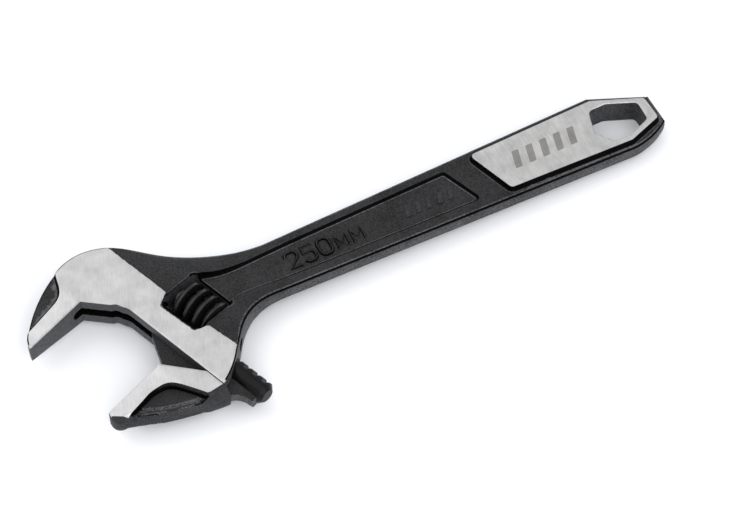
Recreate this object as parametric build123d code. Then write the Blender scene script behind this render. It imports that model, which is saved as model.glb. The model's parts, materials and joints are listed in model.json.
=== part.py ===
from build123d import *
import math
import os

# Adjustable wrench, 250 mm size, lying on its side. Millimetres, +Z up.
# Drawing frame: X runs along the handle towards its hang hole, Z is through the thickness, and
# the origin is where the handle's axis meets the edge that the moving jaw slides along.
# Head frame (p, q), in the same plane: p points out of the slide edge towards the jaw tips and
# q points along the slide edge in the direction that opens the jaw.

# ---- driving dimensions ----
JAW_ANGLE = 20.4            # between the jaw faces and the handle's axis
HEAD_HALF = 6.2             # half thickness of the ground head
TIP_HALF = 4.0              # half thickness at the jaw tips
HANDLE_HALF = 3.3           # half thickness of the handle's rim
PANEL_HALF = 2.3            # half thickness of the web between the recessed panels
PAD_HALF = 5.3              # half thickness at the raised pads

FIXED_FACE_Q = -20.5        # working face of the fixed jaw
OPENING = 38.9              # between the jaw faces as modelled, almost fully open
JAW_CORNER_P = 9.2          # where a working face meets its throat
JAW_TIP_P = 34.0
THROAT_ANGLE = 58.0         # throat to working face, so that a hexagon's corner is free
SLIDE_END_Q = 40.5          # lowest point of the slide edge
TAPER_START_P = 10.0        # the jaws get thinner from here to the tips
GROUND_BACK_P = -13.5       # back edge of the ground head face
NECK_P = -44.0              # here the head has thinned to the handle's rim
NECK_EASE = 0.4             # share of that thinning that is left halfway along the neck

BORE_P = -8.8               # axis of the round rack bar
BAR_R = 4.2
RUNNING_FIT = 0.08          # radial clearance of parts that slide or turn in each other
BAR_TOP_Q = 11.0            # ends of the rack bar, as modelled
BAR_END_Q = 52.8
BAR_CHAMFER = 0.6
WEB_HALF = 1.95
SLIDE_GAP = 0.3             # between the moving jaw and the slide edge
SLOT_END_P = 13.4           # end of the slot in the fixed jaw's face
SLOT_IN_FACE = 2.4          # how far the slot sinks into that face
SLOT_OPEN_P = 2.0           # the slot is cut clear past the slide edge
BORE_SPARE = 1.2            # bore left above the closed rack bar

WORM_P = -18.0              # axis of the adjusting worm
WORM_R = 8.5
WORM_ROOT_R = 4.7
WORM_PITCH = 4.3            # single right-hand thread
WORM_PHASE_Q = 2.02         # a thread crest faces the rack here
CREST_WIDTH = 1.5
ROOT_WIDTH = 3.1
MESH_GAP = 0.2              # each side of a thread in its rack groove
WORM_TOP_Q = 3.3
WORM_END_Q = 18.4
WINDOW_TOP_Q = 0.0
WINDOW_END_Q = 18.8
WINDOW_FRONT_P = -9.2
WINDOW_BACK_P = -27.0
WINDOW_CORNER_R = 1.0

PIN_R = 2.25
PIN_TOP_Q = -8.0
PIN_END_Q = 28.2
PIN_SLOT = (0.9, 1.0)       # width and depth of the screwdriver slot
SEAT_R = 3.9                # spring seat bored in the worm's upper end
SEAT_DEPTH = 3.2
SPRING_COIL_R = 3.1
SPRING_WIRE_R = 0.4
SPRING_TURNS = 3.5
SPRING_END_GAP = 0.1

# ---- handle and head outline in the drawing frame ----
HANDLE_SHOULDER = (189.0, 14.0)     # top edge, where the end starts to taper
HANDLE_END_TOP = (210.4, 4.4)
HANDLE_END_BOTTOM = (210.0, -8.4)
HANDLE_HEEL = (194.0, -14.4)
NECK_TOP = (53.0, 10.6)
NECK_BOTTOM = (50.0, -10.8)
HEAD_BACK = [(35.3, 13.4), (17.5, 21.5), (6.0, 30.4)]
HEAD_CREST = [(-7.6, 35.0), (-18.8, 31.4)]
JAW_BACK_MID = (-28.4, 24.2)
HEAD_UNDER = [(39.5, -12.3), (31.6, -17.8), (24.6, -27.0)]

# ---- pad, hang hole and panel in the drawing frame ----
PAD = [(136.2, 10.2), (189.2, 11.4), (207.6, 2.6), (207.2, -7.2), (193.6, -11.6), (143.4, -10.4)]
HANG_HOLE = [(185.9, 7.0), (193.2, 7.0), (204.2, 2.2), (203.6, -6.1), (194.2, -9.6), (187.6, -9.5),
             (182.8, -2.8)]
PANEL = [(20.0, 6.2), (48.0, 6.2), (126.4, 8.4), (131.6, -8.2), (48.0, -6.2), (20.0, -6.2)]
PAD_CORNER_R = 1.5
PANEL_CORNER_R = 1.6
HOLE_CORNER_R = 1.4

# ---- pockets, in the head frame ----
BACK_RELIEF = [(5.6, -40.0), (8.0, -34.5), (10.6, -30.2), (13.0, -27.7), (28.9, -25.6), (36.0, -25.4),
               (36.0, -40.0)]
BACK_RELIEF_FLOOR = 4.1     # half thickness left there
JAW_POCKET = [(29.5, 24.6), (20.0, 24.0), (15.6, 24.8), (11.8, 27.4), (6.6, 36.6), (13.0, 34.6),
              (22.0, 30.0)]
JAW_POCKET_FLOOR = 3.0
FIXED_TIP = [(32.3, -23.7), (29.4, -26.1)]  # end of the fixed jaw, behind its working face
JAW_TIP = [(34.6, 19.8), (31.4, 24.6)]      # end of the moving jaw, below its working face
JAW_BELLY = [(18.0, 34.0), (0.3, 42.2)]     # its underside, from the tip to the heel
# front edge of the web, from its top at the slide edge, inside the jaw and down to its bottom
WEB_EDGE = [(0.0, 5.2), (1.0, 6.2), (7.8, 19.0), (11.2, 26.4), (6.0, 36.2), (0.0, 41.2), (-1.0, 45.7),
            (-2.0, 51.7)]

FAR = 60.0                  # longer than any part of the head
MOVING_FACE_Q = FIXED_FACE_Q + OPENING
THREAD_REACH = 0.25         # how far a thread is sunk in the worm's core


def head_xy(p, q):
    """A point of the head frame in the drawing frame."""
    a = math.radians(JAW_ANGLE)
    return (-p * math.cos(a) + q * math.sin(a), -p * math.sin(a) - q * math.cos(a))


HEAD = Rot(0, 0, 180 + JAW_ANGLE)           # turns a solid drawn in (p, q) into the drawing frame


def prism(points, half, radius=0.0):
    """A closed polygon, extruded both ways from the middle plane."""
    face = make_face(Polyline(*points, close=True))
    if radius:
        face = fillet(face.vertices(), radius)
    return extrude(face, half, both=True)


def rod(p, q0, q1, radius):
    """A cylinder along q in the head frame."""
    return extrude(Plane(origin=(p, q0, 0), z_dir=(0, 1, 0)) * Circle(radius), q1 - q0)


def throat_rise():
    """Length along q of a throat, from its jaw's corner to the slide edge."""
    return JAW_CORNER_P * math.tan(math.radians(THROAT_ANGLE))


def thickness_wedge():
    """The body's side profile, seen along q: thin tips, flat head, thin neck."""
    top = [(FAR, TIP_HALF), (JAW_TIP_P, TIP_HALF), (TAPER_START_P, HEAD_HALF), (GROUND_BACK_P, HEAD_HALF)]
    mid = ((GROUND_BACK_P + NECK_P) / 2, HANDLE_HALF + NECK_EASE * (HEAD_HALF - HANDLE_HALF))
    back = -4 * FAR
    upper = top + [mid, (NECK_P, HANDLE_HALF), (back, HANDLE_HALF)]
    lower = [(p, -z) for p, z in reversed(upper)]
    face = Plane.XZ * make_face(Polyline(*(upper + lower), close=True))
    return extrude(face, 2 * FAR, both=True)


def body_outline():
    """Handle and head in one closed outline."""
    slide_top = head_xy(0, FIXED_FACE_Q + throat_rise())
    corner = head_xy(JAW_CORNER_P, FIXED_FACE_Q)
    tip = head_xy(JAW_TIP_P, FIXED_FACE_Q)
    tip_mid = head_xy(*FIXED_TIP[0])
    tip_back = head_xy(*FIXED_TIP[1])
    back = Spline(NECK_TOP, *HEAD_BACK, *HEAD_CREST, tangents=[(-1, 0.03), (-1, -0.72)])
    under = Spline(HEAD_UNDER[-1], *reversed(HEAD_UNDER[:-1]), NECK_BOTTOM,
                   tangents=[(0.62, 0.78), (1, -0.03)])
    edges = [
        Line(HANDLE_SHOULDER, NECK_TOP),
        back,
        ThreePointArc(HEAD_CREST[-1], JAW_BACK_MID, tip_back),
        ThreePointArc(tip_back, tip_mid, tip),
        Line(tip, corner),
        Line(corner, slide_top),
        Line(slide_top, head_xy(0, SLIDE_END_Q)),
        Line(head_xy(0, SLIDE_END_Q), HEAD_UNDER[-1]),
        under,
        Line(NECK_BOTTOM, HANDLE_HEEL),
        Line(HANDLE_HEEL, HANDLE_END_BOTTOM),
        Line(HANDLE_END_BOTTOM, HANDLE_END_TOP),
        Line(HANDLE_END_TOP, HANDLE_SHOULDER),
    ]
    return make_face(Wire(edges))


def keyhole(closed_by):
    """Bore and slot that the rack bar and web run in, open downwards."""
    bore = rod(BORE_P, BAR_TOP_Q - closed_by - BORE_SPARE, FAR, BAR_R + RUNNING_FIT)
    top = WEB_EDGE[0][1] - closed_by - BORE_SPARE
    width = WEB_HALF + RUNNING_FIT
    slot = prism([(BORE_P, BAR_TOP_Q - closed_by), (0, top), (SLOT_END_P, FIXED_FACE_Q - SLOT_IN_FACE),
                  (SLOT_END_P, FIXED_FACE_Q + SLOT_IN_FACE), (SLOT_OPEN_P, FAR), (BORE_P, FAR)], width)
    return bore + slot


def body():
    """Forged body: fixed jaw, head with its slide, window and bores, and the handle."""
    blank = extrude(body_outline(), HEAD_HALF, both=True) & (HEAD * thickness_wedge())
    for side in (1, -1):
        pad = make_face(Polyline(*PAD, close=True))
        pad = fillet(pad.vertices(), PAD_CORNER_R)
        blank += extrude(Pos(0, 0, side * PANEL_HALF) * pad, side * (PAD_HALF - PANEL_HALF))
        panel = make_face(Polyline(*PANEL, close=True))
        panel = fillet(panel.vertices(), PANEL_CORNER_R)
        blank -= extrude(Pos(0, 0, side * PANEL_HALF) * panel, side * FAR)
        relief = make_face(Polyline(*BACK_RELIEF, close=True))
        blank -= HEAD * extrude(Pos(0, 0, side * BACK_RELIEF_FLOOR) * relief, side * FAR)
    blank -= prism(HANG_HOLE, FAR, HOLE_CORNER_R)
    window = [(WINDOW_FRONT_P, WINDOW_TOP_Q), (WINDOW_BACK_P, WINDOW_TOP_Q),
              (WINDOW_BACK_P, WINDOW_END_Q), (WINDOW_FRONT_P, WINDOW_END_Q)]
    blank -= HEAD * prism(window, FAR, WINDOW_CORNER_R)
    blank -= HEAD * keyhole(OPENING)
    blank -= HEAD * rod(WORM_P, PIN_TOP_Q, FAR, PIN_R)
    return blank


def rack_groove(q):
    """Ring that the worm's thread sweeps where it faces the rack, with clearance."""
    lead_angle = math.degrees(math.atan2(WORM_PITCH, 2 * math.pi * WORM_R))
    slope = (ROOT_WIDTH - CREST_WIDTH) / (WORM_R - WORM_ROOT_R) / 2
    inner = WORM_ROOT_R - THREAD_REACH
    outer = WORM_R + MESH_GAP
    half_in = ROOT_WIDTH / 2 + MESH_GAP + slope * (WORM_ROOT_R - inner)
    half_out = CREST_WIDTH / 2 + MESH_GAP
    ring = make_face(Polyline((inner, -half_in), (outer, -half_out), (outer, half_out),
                              (inner, half_in), close=True))
    ring = revolve(ring, Axis.Y, 360)
    return Pos(WORM_P, q, 0) * Rot(lead_angle, 0, 0) * ring


def moving_jaw():
    """Moving jaw with its web and round rack bar, in one forging."""
    heel_q = MOVING_FACE_Q + (JAW_CORNER_P - SLIDE_GAP) * math.tan(math.radians(THROAT_ANGLE))
    outline = [Line((JAW_TIP_P, MOVING_FACE_Q), (JAW_CORNER_P, MOVING_FACE_Q)),
               Line((JAW_CORNER_P, MOVING_FACE_Q), (SLIDE_GAP, heel_q)),
               Line((SLIDE_GAP, heel_q), JAW_BELLY[1]),
               ThreePointArc(JAW_BELLY[1], JAW_BELLY[0], JAW_TIP[1]),
               ThreePointArc(JAW_TIP[1], JAW_TIP[0], (JAW_TIP_P, MOVING_FACE_Q))]
    jaw = extrude(make_face(Wire(outline)), HEAD_HALF, both=True) & thickness_wedge()
    for side in (1, -1):
        pocket = make_face(Polyline(*JAW_POCKET, close=True))
        jaw -= extrude(Pos(0, 0, side * JAW_POCKET_FLOOR) * pocket, side * FAR)
    bar = rod(BORE_P, BAR_TOP_Q, BAR_END_Q, BAR_R)
    bar = chamfer(bar.edges().filter_by(GeomType.CIRCLE), BAR_CHAMFER)
    web = [(BORE_P, BAR_TOP_Q), *WEB_EDGE, (BORE_P, WEB_EDGE[-1][1])]
    jaw = jaw + prism(web, WEB_HALF) + bar
    first = math.floor((BAR_TOP_Q - WORM_PHASE_Q) / WORM_PITCH)
    last = math.ceil((BAR_END_Q - WORM_PHASE_Q) / WORM_PITCH)
    for turn in range(first, last + 1):
        jaw -= rack_groove(WORM_PHASE_Q + turn * WORM_PITCH)
    return HEAD * jaw


def worm_thread():
    """Right-hand trapezoidal ridge, longer than the worm at both ends."""
    sunk_r = WORM_ROOT_R - THREAD_REACH
    slope = (ROOT_WIDTH - CREST_WIDTH) / (WORM_R - WORM_ROOT_R) / 2
    half_in = ROOT_WIDTH / 2 + slope * THREAD_REACH
    half_out = CREST_WIDTH / 2
    turns = math.ceil((WORM_END_Q - WORM_TOP_Q) / WORM_PITCH) + 2
    path = Helix(WORM_PITCH, turns * WORM_PITCH, sunk_r)
    profile = make_face(Polyline((sunk_r, 0, -half_in), (WORM_R, 0, -half_out), (WORM_R, 0, half_out),
                                 (sunk_r, 0, half_in), close=True))
    return sweep(profile, path, is_frenet=True)


def worm():
    """Adjusting worm with its pin bore and spring seat."""
    ridge = worm_thread()
    start = WORM_PHASE_Q - WORM_PITCH
    to_q = Plane(origin=(WORM_P, start, 0), x_dir=(1, 0, 0), z_dir=(0, 1, 0))
    ridge = to_q * ridge
    blank = rod(WORM_P, WORM_TOP_Q, WORM_END_Q, WORM_R)
    solid = rod(WORM_P, WORM_TOP_Q, WORM_END_Q, WORM_ROOT_R) + (ridge & blank)
    solid -= rod(WORM_P, -FAR, FAR, PIN_R + RUNNING_FIT)
    solid -= rod(WORM_P, WORM_TOP_Q, WORM_TOP_Q + SEAT_DEPTH, SEAT_R)
    return HEAD * solid


def pin():
    """Plain axle pin with a screwdriver slot in its outer end."""
    shank = rod(WORM_P, PIN_TOP_Q, PIN_END_Q, PIN_R)
    slot_width, slot_depth = PIN_SLOT
    slot = Pos(WORM_P, PIN_END_Q, 0) * Box(slot_width, 2 * slot_depth, 4 * PIN_R)
    return HEAD * (shank - slot)


def spring():
    """Small compression spring that keeps the worm against one side of its window."""
    q0 = WINDOW_TOP_Q + SPRING_END_GAP + SPRING_WIRE_R
    q1 = WORM_TOP_Q + SEAT_DEPTH - SPRING_END_GAP - SPRING_WIRE_R
    pitch = (q1 - q0) / SPRING_TURNS
    path = Helix(pitch, q1 - q0, SPRING_COIL_R)
    wire = Plane(origin=path @ 0, z_dir=path % 0) * Circle(SPRING_WIRE_R)
    coil = sweep(wire, path, is_frenet=True)
    to_q = Plane(origin=(WORM_P, q0, 0), x_dir=(1, 0, 0), z_dir=(0, 1, 0))
    return HEAD * (to_q * coil)


def main():
    parts = {"wrench_body": body(), "moving_jaw": moving_jaw(), "adjusting_worm": worm(),
             "worm_pin": pin(), "worm_spring": spring()}
    box = Compound(list(parts.values())).bounding_box()
    middle = box.center()
    to_base = Pos(-middle.X, -middle.Y, -box.min.Z)
    os.makedirs("parts", exist_ok=True)
    for name, shape in parts.items():
        export_step(to_base * shape, f"parts/{name}.step")
    print("size", box.size, "shift", -middle.X, -middle.Y, -box.min.Z)


main()
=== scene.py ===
import bpy
import json
import math
import numpy as np
from mathutils import Matrix, Vector
from mathutils.geometry import delaunay_2d_cdt
from mathutils.kdtree import KDTree


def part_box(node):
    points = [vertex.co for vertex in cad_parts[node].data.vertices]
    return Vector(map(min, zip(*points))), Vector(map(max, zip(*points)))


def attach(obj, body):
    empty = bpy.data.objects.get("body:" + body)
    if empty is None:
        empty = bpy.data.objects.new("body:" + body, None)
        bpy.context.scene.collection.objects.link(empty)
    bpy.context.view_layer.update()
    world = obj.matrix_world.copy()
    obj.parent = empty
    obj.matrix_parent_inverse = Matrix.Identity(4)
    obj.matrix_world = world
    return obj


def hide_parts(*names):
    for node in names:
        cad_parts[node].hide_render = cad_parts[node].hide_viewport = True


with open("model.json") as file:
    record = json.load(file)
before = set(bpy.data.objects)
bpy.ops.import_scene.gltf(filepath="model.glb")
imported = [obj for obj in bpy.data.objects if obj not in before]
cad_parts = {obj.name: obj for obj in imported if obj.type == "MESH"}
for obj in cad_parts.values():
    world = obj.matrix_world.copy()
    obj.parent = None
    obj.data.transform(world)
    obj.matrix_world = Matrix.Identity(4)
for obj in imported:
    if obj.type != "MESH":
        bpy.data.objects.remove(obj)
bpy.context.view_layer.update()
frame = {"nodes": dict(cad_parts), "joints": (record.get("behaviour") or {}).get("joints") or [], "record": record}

# Adjustable wrench. Shapes are drawn in millimetres and brought into the frame, in metres, at the end.
# Drawing plane (x, y): x runs along the handle to its hang hole, from where the handle's axis meets
# the edge that the moving jaw slides along. Head plane (p, q): p points out of that edge towards the
# jaw tips and q points the way the jaw opens. z is the height above the wrench's middle plane.

MM = 0.001
# material slots of the two forgings, in the order of FORGING
BRIGHT, SKIN, MILLED, PAD_BRIGHT, ETCHED, OILED, SIDE = range(7)

# ---- frame: where the drawing lies ----
WORM_P = -18.0
WORM_PIVOT_Q = 10.0
spin = next(j for j in frame["joints"] if j["name"] == "worm_spin")
JAW_ANGLE = math.atan2(spin["axis"][0], -spin["axis"][1])
TO_DRAWING = Matrix.Rotation(math.pi + JAW_ANGLE, 4, "Z")      # from the head plane
ORIGIN = Vector(spin["pos_m"]) - MM * (TO_DRAWING @ Vector((WORM_P, WORM_PIVOT_Q, 0)))
TO_FRAME = Matrix.Translation(ORIGIN) @ Matrix.Scale(MM, 4)

# ---- thicknesses, each from the middle plane up ----
HEAD_HALF = 6.2
TIP_HALF = 4.0
HANDLE_HALF = 3.3
PANEL_HALF = 2.3
PAD_HALF = 5.3
RELIEF_DEPTH = 0.9
POCKET_HALF = 3.0

# ---- edges and walls ----
EDGE_R = 0.45
EDGE_R_MORE = 0.65
CRISP_R = 0.22
HOLE_EDGE_R = 0.3
PANEL_WALL = 1.5
PANEL_CORNER_R = 1.6
PAD_CORNER_R = 1.5
HOLE_CORNER_R = 2.2
RELIEF_WALL = 0.9
POCKET_WALL = 0.95
MOUTH_REACH = 1.5
FLASH = 0.12
# the parting line's flash: share of the edge's height, share of the flash's width
FLASH_PROFILE = ((0.28, 0.35), (0.07, 1), (-0.07, 1), (-0.28, 0.35))
GRID_ROW = 0.866

# ---- head plane ----
FIXED_FACE_Q = -20.5
MOVING_FACE_Q = 18.4
JAW_CORNER_P = 9.2
JAW_TIP_P = 34.0
THROAT = math.radians(58)
SLIDE_END_Q = 40.5
SLIDE_GAP = 0.3
TAPER_START_P = 10.0
GROUND_BACK_P = -13.5
NECK_P = -44.0
FIXED_TIP = [(32.3, -23.7), (29.4, -26.1)]
THROAT_STEP = [(3.1, -11.6), (1.7, -10.4), (1.0, -8.2), (0.2, -6.2), (0.0, -4.8)]
JAW_TIP = [(34.6, 19.8), (31.4, 24.6)]
JAW_BELLY = [(18.0, 34.4), (0.3, 43.8)]
BORE_P = -8.8
BAR_R = 4.2
BAR_Q = (11.0, 52.4)
WEB_HALF = 1.95
WEB_EDGE = [(0.0, 5.2), (1.0, 6.2), (7.8, 19.0), (11.2, 26.4), (6.0, 36.2), (1.2, 43.1), (-0.3, 44.0),
            (-1.7, 45.6), (-2.6, 47.6), (-3.0, 50.9)]
WINDOW = [(-10.3, 0.0), (-27.0, 0.0), (-27.0, 18.8), (-10.3, 18.8)]
WINDOW_R = 1.2
RELIEF = [(4.4, -40.0), (6.3, -36.6), (8.2, -33.6), (10.3, -30.1), (12.4, -28.0), (14.4, -27.1),
          (18.4, -26.5), (28.9, -25.6), (36.0, -25.2)]
GROUND = [(-13.4, -45.0), (-13.6, -1.0), (-8.0, 1.5), (-8.6, 17.8), (-13.6, 19.9), (-14.4, 31.0),
          (-14.0, 50.0), (50.0, 50.0), (50.0, -45.0)]
GROUND_CORNER_R = 0.9
GROUND_WAVER = 0.07
JAW_GROUND = [(30.7, 24.6), (26.0, 24.3), (22.9, 24.1), (19.3, 23.9), (16.0, 24.5), (13.8, 25.2),
              (11.9, 26.6), (9.9, 30.0), (8.1, 34.4), (6.4, 38.9)]
JAW_GROUND_OUTSIDE = [(5.4, 39.4), (0.3, 40.4), (-9.0, 41.2), (-9.0, 0.0), (50.0, 0.0), (50.0, 16.0),
                      (34.8, 19.4)]
POCKET_RIM = [(6.6, 40.0), (9.5, 39.3), (14.5, 36.8), (20.0, 33.3), (25.0, 29.2), (29.6, 25.4)]

# ---- strokes of the size mark, in a box of one by one ----
STROKES = {
    "2": [(0, 0.72), (0.06, 0.9), (0.25, 1), (0.75, 1), (0.94, 0.9), (1, 0.72), (0.92, 0.54),
          (0.04, 0.0), (1, 0)],
    "5": [(1, 1), (0.1, 1), (0.03, 0.56), (0.72, 0.6), (0.93, 0.5), (1, 0.3), (0.93, 0.1),
          (0.72, 0), (0.25, 0), (0.0, 0.16)],
    "0": [(0, 0.25), (0, 0.75), (0.1, 0.92), (0.3, 1), (0.7, 1), (0.9, 0.92), (1, 0.75),
          (1, 0.25), (0.9, 0.08), (0.7, 0), (0.3, 0), (0.1, 0.08)],
    "M": [(0, 0), (0, 1), (0.5, 0.3), (1, 1), (1, 0)]}
# glyph, left edge, width, height
SIZE_MARK = (("2", 57.0, 4.6, 7.0), ("5", 63.4, 4.6, 7.0), ("0", 69.8, 4.6, 7.0),
             ("M", 76.6, 4.2, 5.4), ("M", 82.8, 4.2, 5.4))
MARK_FOOT_Y = -3.9
STROKE_R = 0.7
STROKE_SUNK = 0.08

# ---- worm, in the head plane ----
WORM_Q = (3.3, 18.4)
WORM_R = 8.5
WORM_ROOT_R = 4.7
WORM_PITCH = 4.3
WORM_PHASE_Q = 2.02
CREST_WIDTH = 1.4
ROOT_WIDTH = 2.1
KNURLS = 64
KNURL_DEPTH = 0.07
MESH_GAP = 0.2
PIN_R = 2.25
PIN_Q = (-8.0, 28.2)
RUNNING_FIT = 0.08
SEAT_R = 3.9
SEAT_DEPTH = 3.2

# ---- drawing plane ----
HANDLE_SHOULDER = (189.0, 14.0)
HANDLE_END_TOP = (210.4, 4.4)
HANDLE_END_BOTTOM = (210.0, -8.4)
HANDLE_HEEL = (194.0, -14.4)
HEEL_MID = (204.6, -11.6)
NECK_TOP = (53.0, 10.6)
NECK_BOTTOM = (50.0, -10.8)
HEAD_BACK = [(35.3, 13.8), (17.5, 22.1), (6.0, 30.9)]
HEAD_CREST = [(-7.6, 35.0), (-18.8, 31.4)]
JAW_BACK_MID = (-28.4, 24.2)
HEAD_UNDER = [(39.5, -12.3), (31.6, -17.8), (24.6, -27.0)]
HEAD_UNDER_MID = (20.2, -32.8)
PAD = [(136.7, 9.4), (188.6, 10.9), (207.4, 2.9), (207.5, -7.2), (193.6, -12.0), (143.4, -10.4)]
HANG_HOLE = [(185.9, 7.0), (193.2, 7.0), (204.2, 2.2), (203.6, -6.1), (194.2, -9.6), (187.6, -9.5),
             (182.8, -2.8)]
PANEL_TOP = [(24.5, 9.0), (27.6, 8.4), (31.0, 7.3), (36.0, 6.5), (48.0, 6.6), (62.0, 7.2)]
PANEL_BOTTOM = [(62.0, -7.0), (48.0, -6.4), (40.0, -5.9), (35.5, -6.0), (32.2, -7.3), (30.0, -9.0)]
PANEL_END = [(125.6, 8.7), (132.4, -8.6)]


# ---------------------------------------------------------------- node trees
def add(tree, kind, inputs=None, **settings):
    """One node: its settings, then its inputs by name or number, each a value or another node's socket."""
    node = tree.nodes.new(kind)
    for name, value in settings.items():
        setattr(node, name, value)
    for key, value in (inputs or {}).items():
        if isinstance(value, bpy.types.NodeSocket):
            tree.links.new(value, node.inputs[key])
        else:
            node.inputs[key].default_value = value
    return node


def tree_with(name, sizes):
    """Geometry Nodes tree with a geometry output, a tool object and named numbers."""
    tree = bpy.data.node_groups.new(name, "GeometryNodeTree")
    tree.interface.new_socket("Geometry", in_out="OUTPUT", socket_type="NodeSocketGeometry")
    tree.interface.new_socket("Tool", in_out="INPUT", socket_type="NodeSocketObject")
    for label, value in sizes.items():
        kind = "NodeSocketInt" if isinstance(value, int) else "NodeSocketFloat"
        tree.interface.new_socket(label, in_out="INPUT", socket_type=kind)
    return tree, tree.nodes.new("NodeGroupInput").outputs


def grown(name, tree, sizes, tool=None):
    """The tree's result, with its named inputs set, as a plain object."""
    obj = new_object(name, bpy.data.meshes.new(name), ())
    step = obj.modifiers.new(name, "NODES")
    step.node_group = tree
    for item in tree.interface.items_tree:
        if item.in_out == "INPUT" and item.name in sizes:
            step[item.identifier] = sizes[item.name]
        if item.in_out == "INPUT" and item.name == "Tool" and tool:
            step[item.identifier] = tool
    return baked(obj)


def tool_row(tree, given, start, stride):
    """The tree's tool object, repeated from the start at each stride."""
    start = add(tree, "ShaderNodeCombineXYZ", start)
    stride = add(tree, "ShaderNodeCombineXYZ", stride)
    row = add(tree, "GeometryNodeMeshLine", {"Count": given["Count"], "Start Location": start.outputs[0],
                                             "Offset": stride.outputs[0]})
    shape = add(tree, "GeometryNodeObjectInfo", {"Object": given["Tool"]})
    spread = add(tree, "GeometryNodeInstanceOnPoints", {"Points": row.outputs[0],
                                                        "Instance": shape.outputs["Geometry"]})
    return add(tree, "GeometryNodeRealizeInstances", {"Geometry": spread.outputs[0]})


# ---------------------------------------------------------------- finishes
def linear(code):
    """An sRGB hex code as a linear colour."""
    parts = [int(code[i:i + 2], 16) / 255 for i in (0, 2, 4)]
    return (*(c / 12.92 if c <= 0.04045 else ((c + 0.055) / 1.055) ** 2.4 for c in parts), 1.0)


def per(size_mm):
    """Texture scale for a feature of that many millimetres."""
    return 1 / (size_mm * MM)


def finish(name, plain):
    """A material, its tree, its surface with the plain values set, and Object coordinates."""
    material = bpy.data.materials.new(name)
    material.use_nodes = True
    tree = material.node_tree
    surface = tree.nodes["Principled BSDF"]
    for label, value in plain.items():
        surface.inputs[label].default_value = value
    return material, tree, surface, add(tree, "ShaderNodeTexCoord").outputs["Object"]


def shade_between(tree, amount, dark, light, low=0.35, high=0.65):
    """Colour from dark to light as the amount goes from low to high."""
    ramp = add(tree, "ShaderNodeValToRGB", {"Fac": amount})
    ramp.color_ramp.elements[0].position = low
    ramp.color_ramp.elements[0].color = linear(dark)
    ramp.color_ramp.elements[1].position = high
    ramp.color_ramp.elements[1].color = linear(light)
    return ramp.outputs["Color"]


def ground_steel(name, grain, light, dark, rough):
    """Alloy steel ground flat on a belt and left satin: pale, with parallel scratches and soft clouds."""
    material, tree, surface, spot = finish(name, {"Metallic": 1.0})
    way = add(tree, "ShaderNodeMapping", {"Vector": spot, "Rotation": (0, 0, grain)})
    scratch_way = add(tree, "ShaderNodeMapping", {"Vector": way.outputs[0], "Scale": (1, 0.05, 1)})
    # belt scratches are some 0.05 mm wide, drawn at 0.35 mm so that they show
    scratch = add(tree, "ShaderNodeTexNoise", {"Vector": scratch_way.outputs[0], "Scale": per(0.35),
                                               "Detail": 4.0, "Roughness": 0.6})
    cloud = add(tree, "ShaderNodeTexNoise", {"Vector": spot, "Scale": per(7), "Detail": 5.0,
                                             "Roughness": 0.62})
    both = add(tree, "ShaderNodeMix", {"Factor": 0.45, "A": cloud.outputs[0], "B": scratch.outputs[0]})
    tree.links.new(shade_between(tree, both.outputs[0], dark, light), surface.inputs["Base Color"])
    gloss = add(tree, "ShaderNodeMapRange", {"Value": scratch.outputs[0], "From Min": 0.3, "From Max": 0.7,
                                             "To Min": rough - 0.07, "To Max": rough + 0.07})
    tree.links.new(gloss.outputs[0], surface.inputs["Roughness"])
    relief = add(tree, "ShaderNodeBump", {"Strength": 0.25, "Distance": 0.02 * MM,
                                          "Height": scratch.outputs[0]})
    tree.links.new(relief.outputs[0], surface.inputs["Normal"])
    return material


def black_skin(name, light, dark, rough, grit, relief_mm, sheen, paint_slope_light=True):
    """Steel with a black phosphate skin: dull charcoal with a fine grit that glints here and there, and painted
    light and shade by slope unless that is turned off.
    """
    material, tree, surface, spot = finish(name, {"Specular IOR Level": sheen})
    grain = add(tree, "ShaderNodeTexNoise", {"Vector": spot, "Scale": per(grit), "Detail": 3.0,
                                             "Roughness": 0.65})
    patch = add(tree, "ShaderNodeTexNoise", {"Vector": spot, "Scale": per(11), "Detail": 4.0})
    both = add(tree, "ShaderNodeMix", {"Factor": 0.75, "A": patch.outputs[0], "B": grain.outputs[0]})
    colour = shade_between(tree, both.outputs[0], dark, light, 0.38, 0.6)
    if paint_slope_light:
        # painted light and shade by slope: slopes get painted shade and are darkest, level faces a little paler,
        # and brows and upright sides the palest, as painted highlight and bounce light
        level = add(tree, "ShaderNodeAttribute", attribute_name="level")
        painted_light_ramp = add(tree, "ShaderNodeValToRGB", {"Fac": level.outputs["Fac"]})
        stops = painted_light_ramp.color_ramp.elements
        for level_from, grey in PAINTED_SLOPE_LIGHT:
            stop = stops.new(level_from)
            stop.color = (grey, grey, grey, 1)
        stops.remove(stops[0])
        stops.remove(stops[-1])
        colour = add(tree, "ShaderNodeMix", {"Factor": 1.0, "A": colour, "B": painted_light_ramp.outputs[0]},
                     data_type="RGBA", blend_type="MULTIPLY").outputs["Result"]
        # painted sheen: the specular level follows the painted light and shade, so shaded slopes lose their gloss
        painted_gloss = add(tree, "ShaderNodeMapRange", {"Value": painted_light_ramp.outputs[0], "From Max": 0.24, "To Max": sheen})
        tree.links.new(painted_gloss.outputs[0], surface.inputs["Specular IOR Level"])
    tree.links.new(colour, surface.inputs["Base Color"])
    gloss = add(tree, "ShaderNodeMapRange", {"Value": grain.outputs[0], "From Min": 0.3, "From Max": 0.7,
                                             "To Min": rough + 0.1, "To Max": rough - 0.14})
    tree.links.new(gloss.outputs[0], surface.inputs["Roughness"])
    relief = add(tree, "ShaderNodeBump", {"Strength": 0.8, "Distance": relief_mm * MM,
                                          "Height": grain.outputs[0]})
    tree.links.new(relief.outputs[0], surface.inputs["Normal"])
    return material


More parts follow.
